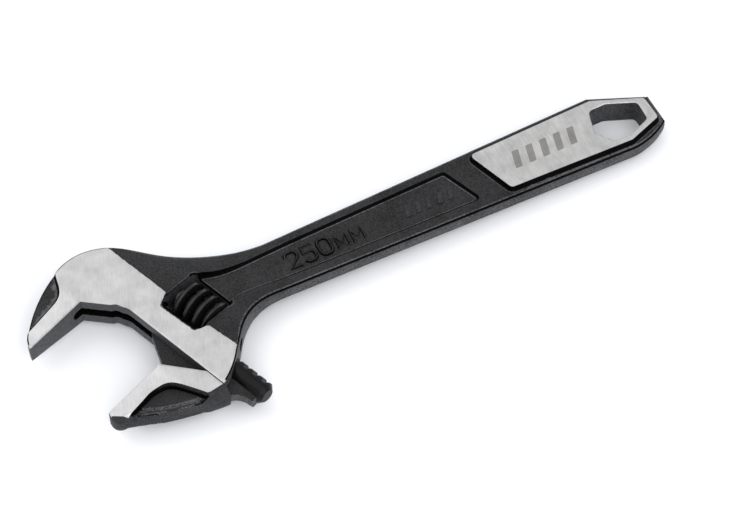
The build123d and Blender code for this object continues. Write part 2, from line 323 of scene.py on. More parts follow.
def drawn_steel(name, light, dark, rough):
    """Bright drawn steel: clean and smooth, with faint length-wise variation."""
    material, tree, surface, spot = finish(name, {"Metallic": 1.0, "Roughness": rough})
    streak = add(tree, "ShaderNodeTexNoise", {"Vector": spot, "Scale": per(1.5), "Detail": 2.0})
    tree.links.new(shade_between(tree, streak.outputs[0], dark, light), surface.inputs["Base Color"])
    return material


def plain_floor():
    """Matt white studio sheet with a hardly visible unevenness."""
    material, tree, surface, spot = finish("white_studio_sheet", {"Roughness": 0.9,
                                                                  "Specular IOR Level": 0.1})
    haze = add(tree, "ShaderNodeTexNoise", {"Vector": spot, "Scale": per(400)})
    tree.links.new(shade_between(tree, haze.outputs[0], "F4F5F7", "F7F8FA"), surface.inputs["Base Color"])
    return material


# painted light and shade by slope: how level the surface is, from upright at 0, and the share of the skin's tone
# that it keeps, with painted shade on slopes and painted light on brows and upright sides
PAINTED_SLOPE_LIGHT = ((0.0, 0.7), (0.14, 0.6), (0.3, 0.02), (0.9, 0.02), (0.93, 0.85), (0.975, 0.85), (0.99, 0.22))
HEAD_FINISH = ground_steel("ground_steel_head", JAW_ANGLE, "C9C8C7", "ABAAAA", 0.42)
PAD_FINISH = ground_steel("ground_steel_pad", 0.0, "CFCECC", "ACABAA", 0.38)
# the etch is a darker, duller print on the ground pad
ETCH_FINISH = ground_steel("etched_steel", 0.0, "9A9894", "83817E", 0.5)
# only the forging skin gets painted light and shade by slope; the other black finishes keep an even tone
SKIN_FINISH = black_skin("black_phosphate_forging", "646466", "202022", 0.5, 0.5, 0.2, 0.2)
SIDE_FINISH = black_skin("black_phosphate_side", "363638", "121214", 0.5, 0.5, 0.2, 0.16, paint_slope_light=False)
MILLED_FINISH = black_skin("blackened_milled_steel", "3E3E41", "303033", 0.5, 0.9, 0.03, 0.35,
                           paint_slope_light=False)
OILED_FINISH = black_skin("oiled_black_rack", "0E0E0F", "070708", 0.3, 0.9, 0.03, 0.14, paint_slope_light=False)
WORM_FINISH = black_skin("oiled_black_worm", "121213", "08080A", 0.24, 1.2, 0.01, 0.35, paint_slope_light=False)
PIN_FINISH = drawn_steel("drawn_steel_pin", "7C7C7E", "666668", 0.3)
SPRING_FINISH = drawn_steel("oiled_spring_wire", "6A6A6C", "4E4E50", 0.28)
FLOOR_FINISH = plain_floor()
FORGING = (HEAD_FINISH, SKIN_FINISH, MILLED_FINISH, PAD_FINISH, ETCH_FINISH, OILED_FINISH, SIDE_FINISH)


# ---------------------------------------------------------------- plane curves
def straight(a, b, step):
    """Points from a to b, no more than a step apart."""
    count = max(1, math.ceil(math.dist(a, b) / step))
    return np.linspace(a, b, count + 1)


def arc(a, b, c, step):
    """Circle through three points, from a past b to c."""
    a, b, c = (complex(*v) for v in (a, b, c))
    w = (c - a) / (b - a)
    centre = a + (b - a) * (w - abs(w) ** 2) / (w - w.conjugate())
    turn = np.angle((c - centre) / (a - centre))
    part = np.angle((b - centre) / (a - centre))
    if turn * part < 0:
        turn -= math.copysign(2 * math.pi, turn)
    count = max(2, math.ceil(abs(turn) * abs(a - centre) / step))
    dots = centre + (a - centre) * np.exp(1j * np.linspace(0, turn, count + 1))
    return np.stack([dots.real, dots.imag], 1)


def smooth(points, step, start=None, end=None):
    """Cubic curve through the points, with its end directions where they are given."""
    dots = np.array(points, float)
    t = np.concatenate([[0], np.cumsum(np.linalg.norm(np.diff(dots, axis=0), axis=1))])
    last = len(dots) - 1
    rows = np.zeros((last + 1, last + 1))
    known = np.zeros((last + 1, 2))
    for i in range(1, last):
        before, after = t[i] - t[i - 1], t[i + 1] - t[i]
        rows[i, i - 1:i + 2] = after, 2 * (before + after), before
        known[i] = 3 * (after * (dots[i] - dots[i - 1]) / before + before * (dots[i + 1] - dots[i]) / after)
    for i, beside, way in ((0, 1, start), (last, last - 1, end)):
        rows[i, i] = 1 if way else 2
        rows[i, beside] = 0 if way else 1
        known[i] = way if way else 3 * (dots[beside] - dots[i]) / (t[beside] - t[i])
    slope = np.linalg.solve(rows, known)
    s = np.linspace(0, t[-1], math.ceil(t[-1] / step) + 1)
    i = np.clip(np.searchsorted(t, s, "right") - 1, 0, last - 1)
    span = (t[i + 1] - t[i])[:, None]
    u = (s - t[i])[:, None] / span
    return (dots[i] * (1 + 2 * u) * (1 - u) ** 2 + dots[i + 1] * u * u * (3 - 2 * u)
            + span * (slope[i] * u * (1 - u) ** 2 - slope[i + 1] * u * u * (1 - u)))


def joined(*runs):
    """Runs end to end as one closed line, with each shared point kept once."""
    return np.vstack([run[:-1] for run in runs])


def rounded(points, radius, step):
    """Closed polygon with its corners rounded, as a closed line."""
    runs = []
    count = len(points)
    cuts = []
    for i in range(count):
        corner = np.array(points[i], float)
        back = np.array(points[i - 1]) - corner
        ahead = np.array(points[(i + 1) % count]) - corner
        back, ahead = back / np.linalg.norm(back), ahead / np.linalg.norm(ahead)
        half = math.acos(np.clip(back @ ahead, -1, 1)) / 2
        reach = radius / math.tan(half)
        middle = (back + ahead) / np.linalg.norm(back + ahead)
        crown = corner + middle * (radius / math.sin(half) - radius)
        cuts.append((corner + back * reach, crown, corner + ahead * reach))
    for i in range(count):
        enter, crown, leave = cuts[i]
        runs.append(arc(enter, crown, leave, step))
        runs.append(straight(leave, cuts[(i + 1) % count][0], step))
    return joined(*runs)


def in_blocks(measure, dots, line):
    """measure(dots, line) over long lists of dots, a block at a time."""
    return np.concatenate([measure(dots[i:i + 1500], line) for i in range(0, len(dots), 1500)])


def gap(dots, line):
    """Distance from each dot to an open line."""
    def block(some, line):
        a, run = line[:-1], np.diff(line, axis=0)
        off = some[:, None] - a
        share = np.clip((off * run).sum(2) / np.maximum((run * run).sum(1), 1e-12), 0, 1)
        return np.linalg.norm(off - share[..., None] * run, axis=2).min(1)
    return in_blocks(block, dots, line)


def within(dots, ring):
    """Whether each dot is inside a closed line."""
    def block(some, ring):
        a, b = ring, np.roll(ring, -1, 0)
        x, y = some[:, :1], some[:, 1:]
        crosses = (a[:, 1] > y) != (b[:, 1] > y)
        rise = np.where(np.abs(b[:, 1] - a[:, 1]) < 1e-12, 1e-12, b[:, 1] - a[:, 1])
        return (crosses & (x < a[:, 0] + (y - a[:, 1]) / rise * (b[:, 0] - a[:, 0]))).sum(1) % 2 == 1
    return in_blocks(block, dots, ring)


def loop(ring):
    """A closed line with its first point repeated at its end."""
    return np.vstack([ring, ring[:1]])


def depth(dots, ring):
    """Distance inside a closed line, negative outside it."""
    return gap(dots, loop(ring)) * np.where(within(dots, ring), 1, -1)


def beside(ring, offset, step):
    """Dots at an offset to the left of a line, or the right if it is negative."""
    run = np.roll(ring, -1, 0) - ring
    middle = ring + run / 2
    length = np.linalg.norm(run, axis=1, keepdims=True)
    keep = length[:, 0] > step / 4
    side = np.stack([-run[:, 1], run[:, 0]], 1) / np.maximum(length, 1e-9)
    return (middle + offset * side)[keep]


def either_side(line, step, offsets, closed=True):
    """Rows of dots at each offset to the left and to the right of a line."""
    rows = [beside(line, sign * off, step) for off in offsets for sign in (1, -1)]
    return rows if closed else [row[:-1] for row in rows]


def ease(t):
    """From 0 to 1, level at both ends."""
    t = np.clip(t, 0, 1)
    return t * t * (3 - 2 * t)


def turned(points, matrix=TO_DRAWING):
    """Head plane points in the drawing plane."""
    return np.array([(matrix @ Vector((x, y, 0)))[:2] for x, y in points])


def rounding(off, radius):
    """How far an edge of that radius falls at a distance from its side."""
    t = np.clip(1 - off / radius, 0, 1)
    return radius * (1 - np.sqrt(1 - t * t))


def taper_plane(p):
    """Half thickness of the head and the jaw where they thin out towards the jaw tips."""
    share = np.clip((p - TAPER_START_P) / (JAW_TIP_P - TAPER_START_P), 0, 1)
    return HEAD_HALF - (HEAD_HALF - TIP_HALF) * share


# ---------------------------------------------------------------- meshes
def new_object(name, data, finishes=None):
    """An object in the scene with its finishes: those of a forging unless others are given."""
    for material in FORGING if finishes is None else finishes:
        data.materials.append(material)
    obj = bpy.data.objects.new(name, data)
    bpy.context.scene.collection.objects.link(obj)
    return obj


def baked(obj):
    """The object's mesh with its modifiers applied and removed."""
    graph = bpy.context.evaluated_depsgraph_get()
    mesh = bpy.data.meshes.new_from_object(obj.evaluated_get(graph))
    obj.modifiers.clear()
    obj.data = mesh
    return obj


def combine(obj, tool, way):
    """Cuts a tool solid from the object, or adds it, and removes the tool."""
    step = obj.modifiers.new(way.lower(), "BOOLEAN")
    step.operation = way
    step.solver = "EXACT"
    step.object = tool
    baked(obj)
    bpy.data.objects.remove(tool)
    return obj


def plate(name, rings, creases, dots, spacing, height, top_slot, wall_slot, flash=None):
    """Closed solid, the same above and below: a triangulated plan, raised to its height each way."""
    lines = [(ring, True) for ring in rings] + [(line, False) for line in creases]
    points, edges = [], []
    for line, is_ring in lines:
        first = len(points)
        points.extend(line)
        edges += [(first + i, first + i + 1) for i in range(len(line) - 1)]
        if is_ring:
            edges.append((first + len(line) - 1, first))
    low, high = rings[0].min(0), rings[0].max(0)
    columns, rows = (int(n) for n in (high - low) / (spacing, spacing * GRID_ROW))
    grid = np.array([(low[0] + (i + j % 2 / 2) * spacing, low[1] + j * spacing * GRID_ROW)
                     for j in range(rows + 2) for i in range(columns + 2)])
    for more, room in ((np.vstack(dots), 0.14), (grid, spacing * 0.55)):
        tree = KDTree(len(points))
        for i, point in enumerate(points):
            tree.insert((point[0], point[1], 0), i)
        tree.balance()
        kept = within(more, rings[0])
        for ring in rings[1:]:
            kept &= ~within(more, ring)
        points += [point for point in more[kept] if tree.find((point[0], point[1], 0))[2] > room]
    plan = delaunay_2d_cdt([Vector(point) for point in points], edges, [], 0, 1e-4)
    flat = np.array([tuple(v) for v in plan[0]])
    faces = np.array(plan[2])
    middle = flat[faces].mean(1)
    kept = within(middle, rings[0])
    for ring in rings[1:]:
        kept &= ~within(middle, ring)
    faces, middle = faces[kept], middle[kept]
    turn = np.cross(flat[faces[:, 1]] - flat[faces[:, 0]], flat[faces[:, 2]] - flat[faces[:, 0]])
    faces[turn < 0] = faces[turn < 0][:, ::-1]
    z = height(flat)
    count = len(flat)
    top = np.column_stack([flat, z])
    corners = [*map(tuple, top), *map(tuple, top * (1, 1, -1))]
    solid = [tuple(map(int, f)) for f in faces] + [tuple(int(v) + count for v in f[::-1]) for f in faces]
    slots = list(top_slot(middle)) * 2
    used = {(a, b) for f in faces for a, b in zip(f, np.roll(f, -1))}
    rim = [(int(a), int(b)) for a, b in used if (b, a) not in used]
    wall = wall_slot(np.array([(flat[a] + flat[b]) / 2 for a, b in rim]))
    levels = {}
    outward = {}
    for a, b in rim:
        side = np.array([flat[b][1] - flat[a][1], flat[a][0] - flat[b][0]])
        side /= max(np.linalg.norm(side), 1e-9)
        outward[a] = outward.get(a, 0) + side
        outward[b] = outward.get(b, 0) + side
    for v, side in outward.items():
        side = side / max(np.linalg.norm(side), 1e-9) * (flash(flat[v:v + 1])[0] if flash else 0)
        first = len(corners)
        for level, out in FLASH_PROFILE:
            corners.append((flat[v][0] + side[0] * out, flat[v][1] + side[1] * out, z[v] * level))
        levels[v] = [v, *range(first, first + 4), v + count]
    for (a, b), slot in zip(rim, wall):
        for i in range(5):
            solid.append((levels[a][i], levels[a][i + 1], levels[b][i + 1], levels[b][i]))
            slots.append(slot)
    mesh = bpy.data.meshes.new(name)
    mesh.from_pydata(corners, [], solid)
    mesh.polygons.foreach_set("material_index", np.array(slots, np.int32))
    mesh.update()
    return new_object(name, mesh)


def prism(name, points, half, slot=MILLED):
    """Straight solid on a polygon, the same above and below the middle plane."""
    count = len(points)
    corners = [(x, y, z) for z in (-half, half) for x, y in points]
    faces = [tuple(range(count))[::-1], tuple(range(count, 2 * count))]
    faces += [(i, (i + 1) % count, count + (i + 1) % count, count + i) for i in range(count)]
    mesh = bpy.data.meshes.new(name)
    mesh.from_pydata(corners, [], faces)
    area = sum(a[0] * b[1] - b[0] * a[1] for a, b in zip(points, [*points[1:], points[0]]))
    if area < 0:
        mesh.flip_normals()
    mesh.polygons.foreach_set("material_index", np.full(len(mesh.polygons), slot, np.int32))
    return new_object(name, mesh)


def lathe(name, profile, sides=72, slot=MILLED):
    """Solid of revolution about a line along q, from (radius, q) pairs that start and end on the line."""
    inner = profile[1:-1]
    corners = [(0, profile[0][1], 0), (0, profile[-1][1], 0)]
    for radius, q in inner:
        corners += [(radius * math.cos(a), q, radius * math.sin(a))
                    for a in np.linspace(0, 2 * math.pi, sides, endpoint=False)]
    faces = []
    for i in range(sides):
        j = (i + 1) % sides
        faces.append((0, 2 + i, 2 + j))
        for k in range(len(inner) - 1):
            a, b = 2 + k * sides, 2 + (k + 1) * sides
            faces.append((a + i, b + i, b + j, a + j))
        end = 2 + (len(inner) - 1) * sides
        faces.append((1, end + j, end + i))
    mesh = bpy.data.meshes.new(name)
    mesh.from_pydata(corners, [], faces)
    mesh.polygons.foreach_set("material_index", np.full(len(mesh.polygons), slot, np.int32))
    return new_object(name, mesh)


def rod(name, p, q0, q1, radius, chamfer=0.0, sides=72, slot=MILLED):
    """Cylinder along q, with its rims chamfered."""
    flank = [(radius, q0), (radius, q1)]
    if chamfer:
        flank = [(radius - chamfer, q0), (radius, q0 + chamfer),
                 (radius, q1 - chamfer), (radius - chamfer, q1)]
    obj = lathe(name, [(0, q0), *flank, (0, q1)], sides, slot)
    obj.data.transform(Matrix.Translation((p, 0, 0)))
    return obj


def finish_mesh(obj, sharp_degrees=32):
    """Puts a drawn object into the frame and shades it smooth but for its sharp edges."""
    mesh = obj.data
    mesh.transform(TO_FRAME)
    mesh.polygons.foreach_set("use_smooth", np.ones(len(mesh.polygons), bool))
    mesh.set_sharp_from_angle(angle=math.radians(sharp_degrees))
    mesh.validate()
    # the level attribute carries how level each corner is, for the skin's painted light and shade by slope
    level = mesh.attributes.new("level", "FLOAT", "CORNER")
    how_level = [abs(normal.vector.z) for normal in mesh.corner_normals]
    level.data.foreach_set("value", np.array(how_level, np.float32))
    return obj


# ---------------------------------------------------------------- the forged body
def body_ring():
    """Outline of the handle and head."""
    step = 0.9
    corner, tip, tip_mid, tip_back, slide_end = turned([
        (JAW_CORNER_P, FIXED_FACE_Q), (JAW_TIP_P, FIXED_FACE_Q), *FIXED_TIP, (0, SLIDE_END_Q)])
    bump = turned(THROAT_STEP)
    mouth = [straight(tip, corner, step), straight(corner, bump[0], step), smooth(bump, step / 2),
             straight(bump[-1], slide_end, step)]
    ring = joined(straight(HANDLE_SHOULDER, NECK_TOP, step),
                  smooth([NECK_TOP, *HEAD_BACK, *HEAD_CREST], step, (-1, 0.03), (-0.8, -0.58)),
                  arc(HEAD_CREST[-1], JAW_BACK_MID, tip_back, step),
                  arc(tip_back, tip_mid, tip, step), *mouth,
                  arc(slide_end, HEAD_UNDER_MID, HEAD_UNDER[-1], step),
                  smooth([HEAD_UNDER[-1], *reversed(HEAD_UNDER[:-1]), NECK_BOTTOM], step, (0.62, 0.78),
                         (1, -0.03)),
                  straight(NECK_BOTTOM, HANDLE_HEEL, step),
                  arc(HANDLE_HEEL, HEEL_MID, HANDLE_END_BOTTOM, step),
                  straight(HANDLE_END_BOTTOM, HANDLE_END_TOP, step),
                  straight(HANDLE_END_TOP, HANDLE_SHOULDER, step))
    return ring, np.vstack(mouth)


def panel_ring():
    """Outline of the recessed panel, which runs out into the worm's window."""
    step = 0.9
    ends = rounded([PANEL_TOP[-1], PANEL_END[0], PANEL_END[1], PANEL_BOTTOM[0]], PANEL_CORNER_R, step)
    far_half = ends[ends[:, 0] > PANEL_TOP[-1][0] + 2]
    # the widest break between two points is where the run starts
    breaks = np.linalg.norm(np.roll(far_half, 1, 0) - far_half, axis=1)
    far_half = np.roll(far_half, -int(np.argmax(breaks)), 0)
    if far_half[0][1] < 0:
        far_half = far_half[::-1]
    return np.vstack([smooth(PANEL_TOP, step), far_half, smooth(PANEL_BOTTOM, step),
                      straight(PANEL_BOTTOM[-1], PANEL_TOP[0], step)[1:-1]])


def etched_bars():
    """Plain slanted bars etched on the pad."""
    count, first, pitch = 5, 149.0, 5.8
    width, length, lean, corner_r = 2.8, 7.6, 2.2, 0.35
    bars = []
    for i in range(count):
        x = first + pitch * i
        bars.append(rounded([(x, -length / 2), (x + width, -length / 2), (x + width + lean, length / 2),
                             (x + lean, length / 2)], corner_r, 0.9))
    return bars


def forged_body():
    """Handle, head and fixed jaw in one forging."""
    ring, mouth = body_ring()
    window = turned(rounded(WINDOW, WINDOW_R, 0.5))
    hole = rounded(HANG_HOLE, HOLE_CORNER_R, 0.6)
    pad = rounded(PAD, PAD_CORNER_R, 0.8)
    panel = panel_ring()
    relief = turned(smooth(RELIEF, 0.8))
    relief_ring = np.vstack([relief, turned([(40.0, -30.0), (40.0, -44.0), (2.0, -44.0)])])
    ground_ring = turned(rounded(GROUND, GROUND_CORNER_R, 0.6))
    rng = np.random.default_rng(4)
    ground_ring = ground_ring + rng.normal(0, GROUND_WAVER, ground_ring.shape)
    bars = etched_bars()
    taper_line = turned(straight((TAPER_START_P, FIXED_FACE_Q - 1), (TAPER_START_P, -29.5), 0.9))

    def height(dots):
        p = turned(dots, TO_DRAWING.inverted())[:, 0]
        share = np.clip((p - NECK_P) / (GROUND_BACK_P - NECK_P), 0, 1)
        neck = HANDLE_HALF + (HEAD_HALF - HANDLE_HALF) * (0.45 * share + 0.55 * ease(share))
        z = np.where(p > TAPER_START_P, taper_plane(p), np.where(p > GROUND_BACK_P, HEAD_HALF, neck))
        # the skin falls away from the ground face's edge
        lip = -depth(dots, ground_ring)
        near_front = ease((p + 15) / 3) * (lip > 0)
        z = z - near_front * 1.1 * np.clip(lip / 1.8, 0, 1) ** 1.3
        sunk = depth(dots, panel)
        fall = np.clip(sunk / PANEL_WALL, 0, 1)
        z = np.where(sunk > 0, PANEL_HALF + np.maximum(z - PANEL_HALF, 0) * (1 - fall) ** 2.2, z)
        # the pad's wall is steep for its first 0.3 mm, then runs out in a fillet
        raised = -depth(dots, pad)
        fillet = 0.45 * (1 - np.clip((raised - 0.3) / 1.0, 0, 1)) ** 2
        foot = np.where(raised < 0.3, 1 - 0.55 * raised / 0.3, fillet)
        near_pad = dots[:, 0] > 120
        z = np.where(raised <= 0, PAD_HALF, np.where(near_pad, z + (PAD_HALF - HANDLE_HALF) * foot, z))
        cut_in = depth(dots, relief_ring)
        z = z - RELIEF_DEPTH * (1 - (1 - np.clip(cut_in / RELIEF_WALL, 0, 1)) ** 2)
        off = gap(dots, loop(ring))
        soft = EDGE_R + EDGE_R_MORE * ease((-p - 12) / 10)
        radius = np.where(gap(dots, mouth) < MOUTH_REACH, CRISP_R, soft)
        z = z - rounding(off, radius)
        z = z - rounding(gap(dots, loop(hole)), HOLE_EDGE_R)
        return z - rounding(gap(dots, loop(window)), np.where(p < -25, 1.0, 0.4))

    def top_slot(dots):
        q = turned(dots, TO_DRAWING.inverted())[:, 1]
        edge = gap(dots, loop(ring))
        on_mouth = gap(dots, mouth) < MOUTH_REACH
        bright = (within(dots, ground_ring) & ~within(dots, relief_ring)
                  & ((edge > 0.4) | on_mouth) & (q < SLIDE_END_Q))
        slots = np.where(bright, BRIGHT, SKIN)
        slots[within(dots, pad)] = PAD_BRIGHT
        for bar in bars:
            slots[within(dots, bar)] = ETCHED
        return slots

    def wall_slot(dots):
        return np.where(gap(dots, mouth) < 0.2, MILLED, SKIN)

    def flash(dots):
        return np.where(gap(dots, mouth) < 0.2, 0, FLASH)

    dots = either_side(ring, 0.9, (0.08, 0.25, 0.5, 0.8, 1.15))
    dots += either_side(panel, 0.9, (0.15, 0.35, 0.6, 0.9, 1.2, 1.5))
    dots += either_side(pad, 0.8, (0.3, 0.55, 0.9, 1.3))
    dots += either_side(hole, 0.6, (0.1, 0.3))
    dots += either_side(window, 0.5, (0.08, 0.2, 0.4, 0.7, 1.0))
    dots += either_side(relief, 0.8, (0.2, 0.45, 0.9), closed=False)
    dots += either_side(ground_ring, 0.7, (0.4, 0.9, 1.4), closed=False)
    creases = [loop(panel), loop(pad), relief, loop(ground_ring), taper_line, *(loop(bar) for bar in bars)]
    body = plate("forged_body", [ring, window, hole], creases, dots, 1.6, height, top_slot, wall_slot, flash)
    return cut_body(body)


def cut_body(body):
    """The keyhole bore and slot for the moving jaw, and the bore for the worm's pin."""
    closed = MOVING_FACE_Q - FIXED_FACE_Q + 1.2
    top_q = BAR_Q[0] - closed
    slot_half = WEB_HALF + RUNNING_FIT
    slot_p, slot_low, slot_high = 11.3, FIXED_FACE_Q - 2.4, FIXED_FACE_Q + 3
    clear_p, outside_q = 2.5, 60
    slot = [(BORE_P, top_q + 1.0), (0, WEB_EDGE[0][1] - closed), (slot_p, slot_low),
            (slot_p, slot_high), (clear_p, FIXED_FACE_Q + 18), (clear_p, outside_q),
            (BORE_P, outside_q)]
    tools = [prism("slot", slot, slot_half, OILED),
             rod("slot_end", slot_p, slot_low, slot_high, slot_half, slot=OILED),
             rod("bore", BORE_P, top_q, outside_q, BAR_R + RUNNING_FIT, slot=OILED),
             rod("pin_bore", WORM_P, PIN_Q[0], outside_q, PIN_R, slot=OILED)]
    for tool in tools:
        tool.data.transform(TO_DRAWING)
        combine(body, tool, "DIFFERENCE")
    return body


# ---------------------------------------------------------------- the moving jaw
def jaw_ring():
    """Outline of the jaw without its web, in the head plane, and its rounded side."""
    step = 0.8
    heel = (SLIDE_GAP, MOVING_FACE_Q + (JAW_CORNER_P - SLIDE_GAP) * math.tan(THROAT))
    corner, tip = (JAW_CORNER_P, MOVING_FACE_Q), (JAW_TIP_P, MOVING_FACE_Q)
    belly = arc(JAW_BELLY[1], JAW_BELLY[0], JAW_TIP[1], step)
    nose = arc(JAW_TIP[1], JAW_TIP[0], tip, step / 2)
    ring = joined(straight(tip, corner, step), straight(corner, heel, step),
                  straight(heel, JAW_BELLY[1], step), belly, nose)
    return ring, np.vstack([belly, nose[1:-1]])


def moving_jaw():
    """Jaw, web and round rack bar in one forging."""
    ring, side = jaw_ring()
    edge = smooth(JAW_GROUND, 0.7)
    ground = np.vstack([edge, JAW_GROUND_OUTSIDE])
    bright_line = np.vstack([straight(JAW_GROUND_OUTSIDE[-1], edge[0], 0.6)[:-1], edge,
                             smooth(JAW_GROUND_OUTSIDE[:3], 0.7)])
    rim = smooth(POCKET_RIM, 0.7)
    pocket = np.vstack([edge[1:], rim[:-1]])

    def height(dots):
        plane = taper_plane(dots[:, 0])
        q = dots[:, 1]
        # the side rounds over further towards the belly
        off = gap(dots, side)
        reach = 0.7 + 2.7 * ease((q - 21.5) / 6) * (1 - 0.45 * ease((q - 35) / 5))
        fall = np.clip(1 - off / reach, 0, 1)
        z = plane - (plane - 1.5) * (1 - np.sqrt(1 - fall * fall))
        sunk = depth(dots, pocket)
        wall = (1 - np.clip(sunk / POCKET_WALL, 0, 1)) ** 1.4
        groove = 0.22 * np.exp(-((gap(dots, rim) - 2.3) / 0.35) ** 2)
        floor = POCKET_HALF + np.maximum(z - POCKET_HALF, 0) * wall - groove * (sunk > 1.0)
        z = np.where(sunk > 0, floor, z)
        others = gap(dots, loop(ring))
        return z - np.where(off > others + 0.05, rounding(others, CRISP_R), 0)

    def top_slot(dots):
        rest = np.where(within(dots, pocket), SKIN, SIDE)
        return np.where(within(dots, ground) & (gap(dots, side) > 0.25), BRIGHT, rest)

    def wall_slot(dots):
        return np.where(gap(dots, side) < 0.1, SIDE, MILLED)

    dots = either_side(ring, 0.8, (0.07, 0.22, 0.55, 1.0, 1.6, 2.3, 3.1))
    dots += either_side(edge, 0.7, (0.15, 0.35, 0.6, 0.95), closed=False)
    dots += either_side(rim, 0.7, (0.15, 0.35, 0.6, 0.95), closed=False)
    dots += either_side(rim, 0.7, (1.8, 2.1, 2.4, 2.8), closed=False)
    jaw = plate("forged_jaw", [ring], [bright_line, rim], dots, 1.1, height, top_slot, wall_slot)
    web_line = smooth(WEB_EDGE[5:9], 0.5)
    web = [(BORE_P, BAR_Q[0]), *WEB_EDGE[:5], *map(tuple, web_line), WEB_EDGE[-1], (BORE_P, WEB_EDGE[-1][1])]
    combine(jaw, prism("web", web, WEB_HALF, SKIN), "UNION")
    combine(jaw, rod("bar", BORE_P, *BAR_Q, BAR_R, 1.6, 96, OILED), "UNION")
    combine(jaw, rack_tool(), "DIFFERENCE")
    jaw.data.transform(TO_DRAWING)
    return jaw


def rack_tool():
    """Rings that cut the rack's grooves: what the worm's thread sweeps where it faces the bar."""
    slope = (ROOT_WIDTH - CREST_WIDTH) / (WORM_R - WORM_ROOT_R) / 2
    inner, outer = WORM_ROOT_R - MESH_GAP, WORM_R + MESH_GAP
    half_in = ROOT_WIDTH / 2 + MESH_GAP + slope * (WORM_ROOT_R - inner)
    half_out = CREST_WIDTH / 2 + MESH_GAP
    ring = lathe("ring", [(0, 0.01 - half_in), (inner, 0.01 - half_in), (inner + 0.01, -half_in),
                          (outer, -half_out), (outer, half_out), (inner, half_in), (0, half_in)], 96)
    lead = math.atan2(WORM_PITCH, 2 * math.pi * WORM_R)
    ring.data.transform(Matrix.Rotation(lead, 4, "X"))
    first = math.floor((BAR_Q[0] - WORM_PHASE_Q) / WORM_PITCH)
    last = math.ceil((BAR_Q[1] - WORM_PHASE_Q) / WORM_PITCH)
    sizes = {"Count": last - first + 1, "Pitch": WORM_PITCH, "First": WORM_PHASE_Q + first * WORM_PITCH,
             "Axis": WORM_P}
    tree, given = tree_with("rack_grooves", sizes)
    real = tool_row(tree, given, {"X": given["Axis"], "Y": given["First"]}, {"Y": given["Pitch"]})
    add(tree, "NodeGroupOutput", {"Geometry": real.outputs[0]})
    cutter = grown("rack_grooves", tree, sizes, ring)
    oiled = np.full(len(cutter.data.polygons), OILED, np.int32)
    cutter.data.polygons.foreach_set("material_index", oiled)
    bpy.data.objects.remove(ring)
    return cutter


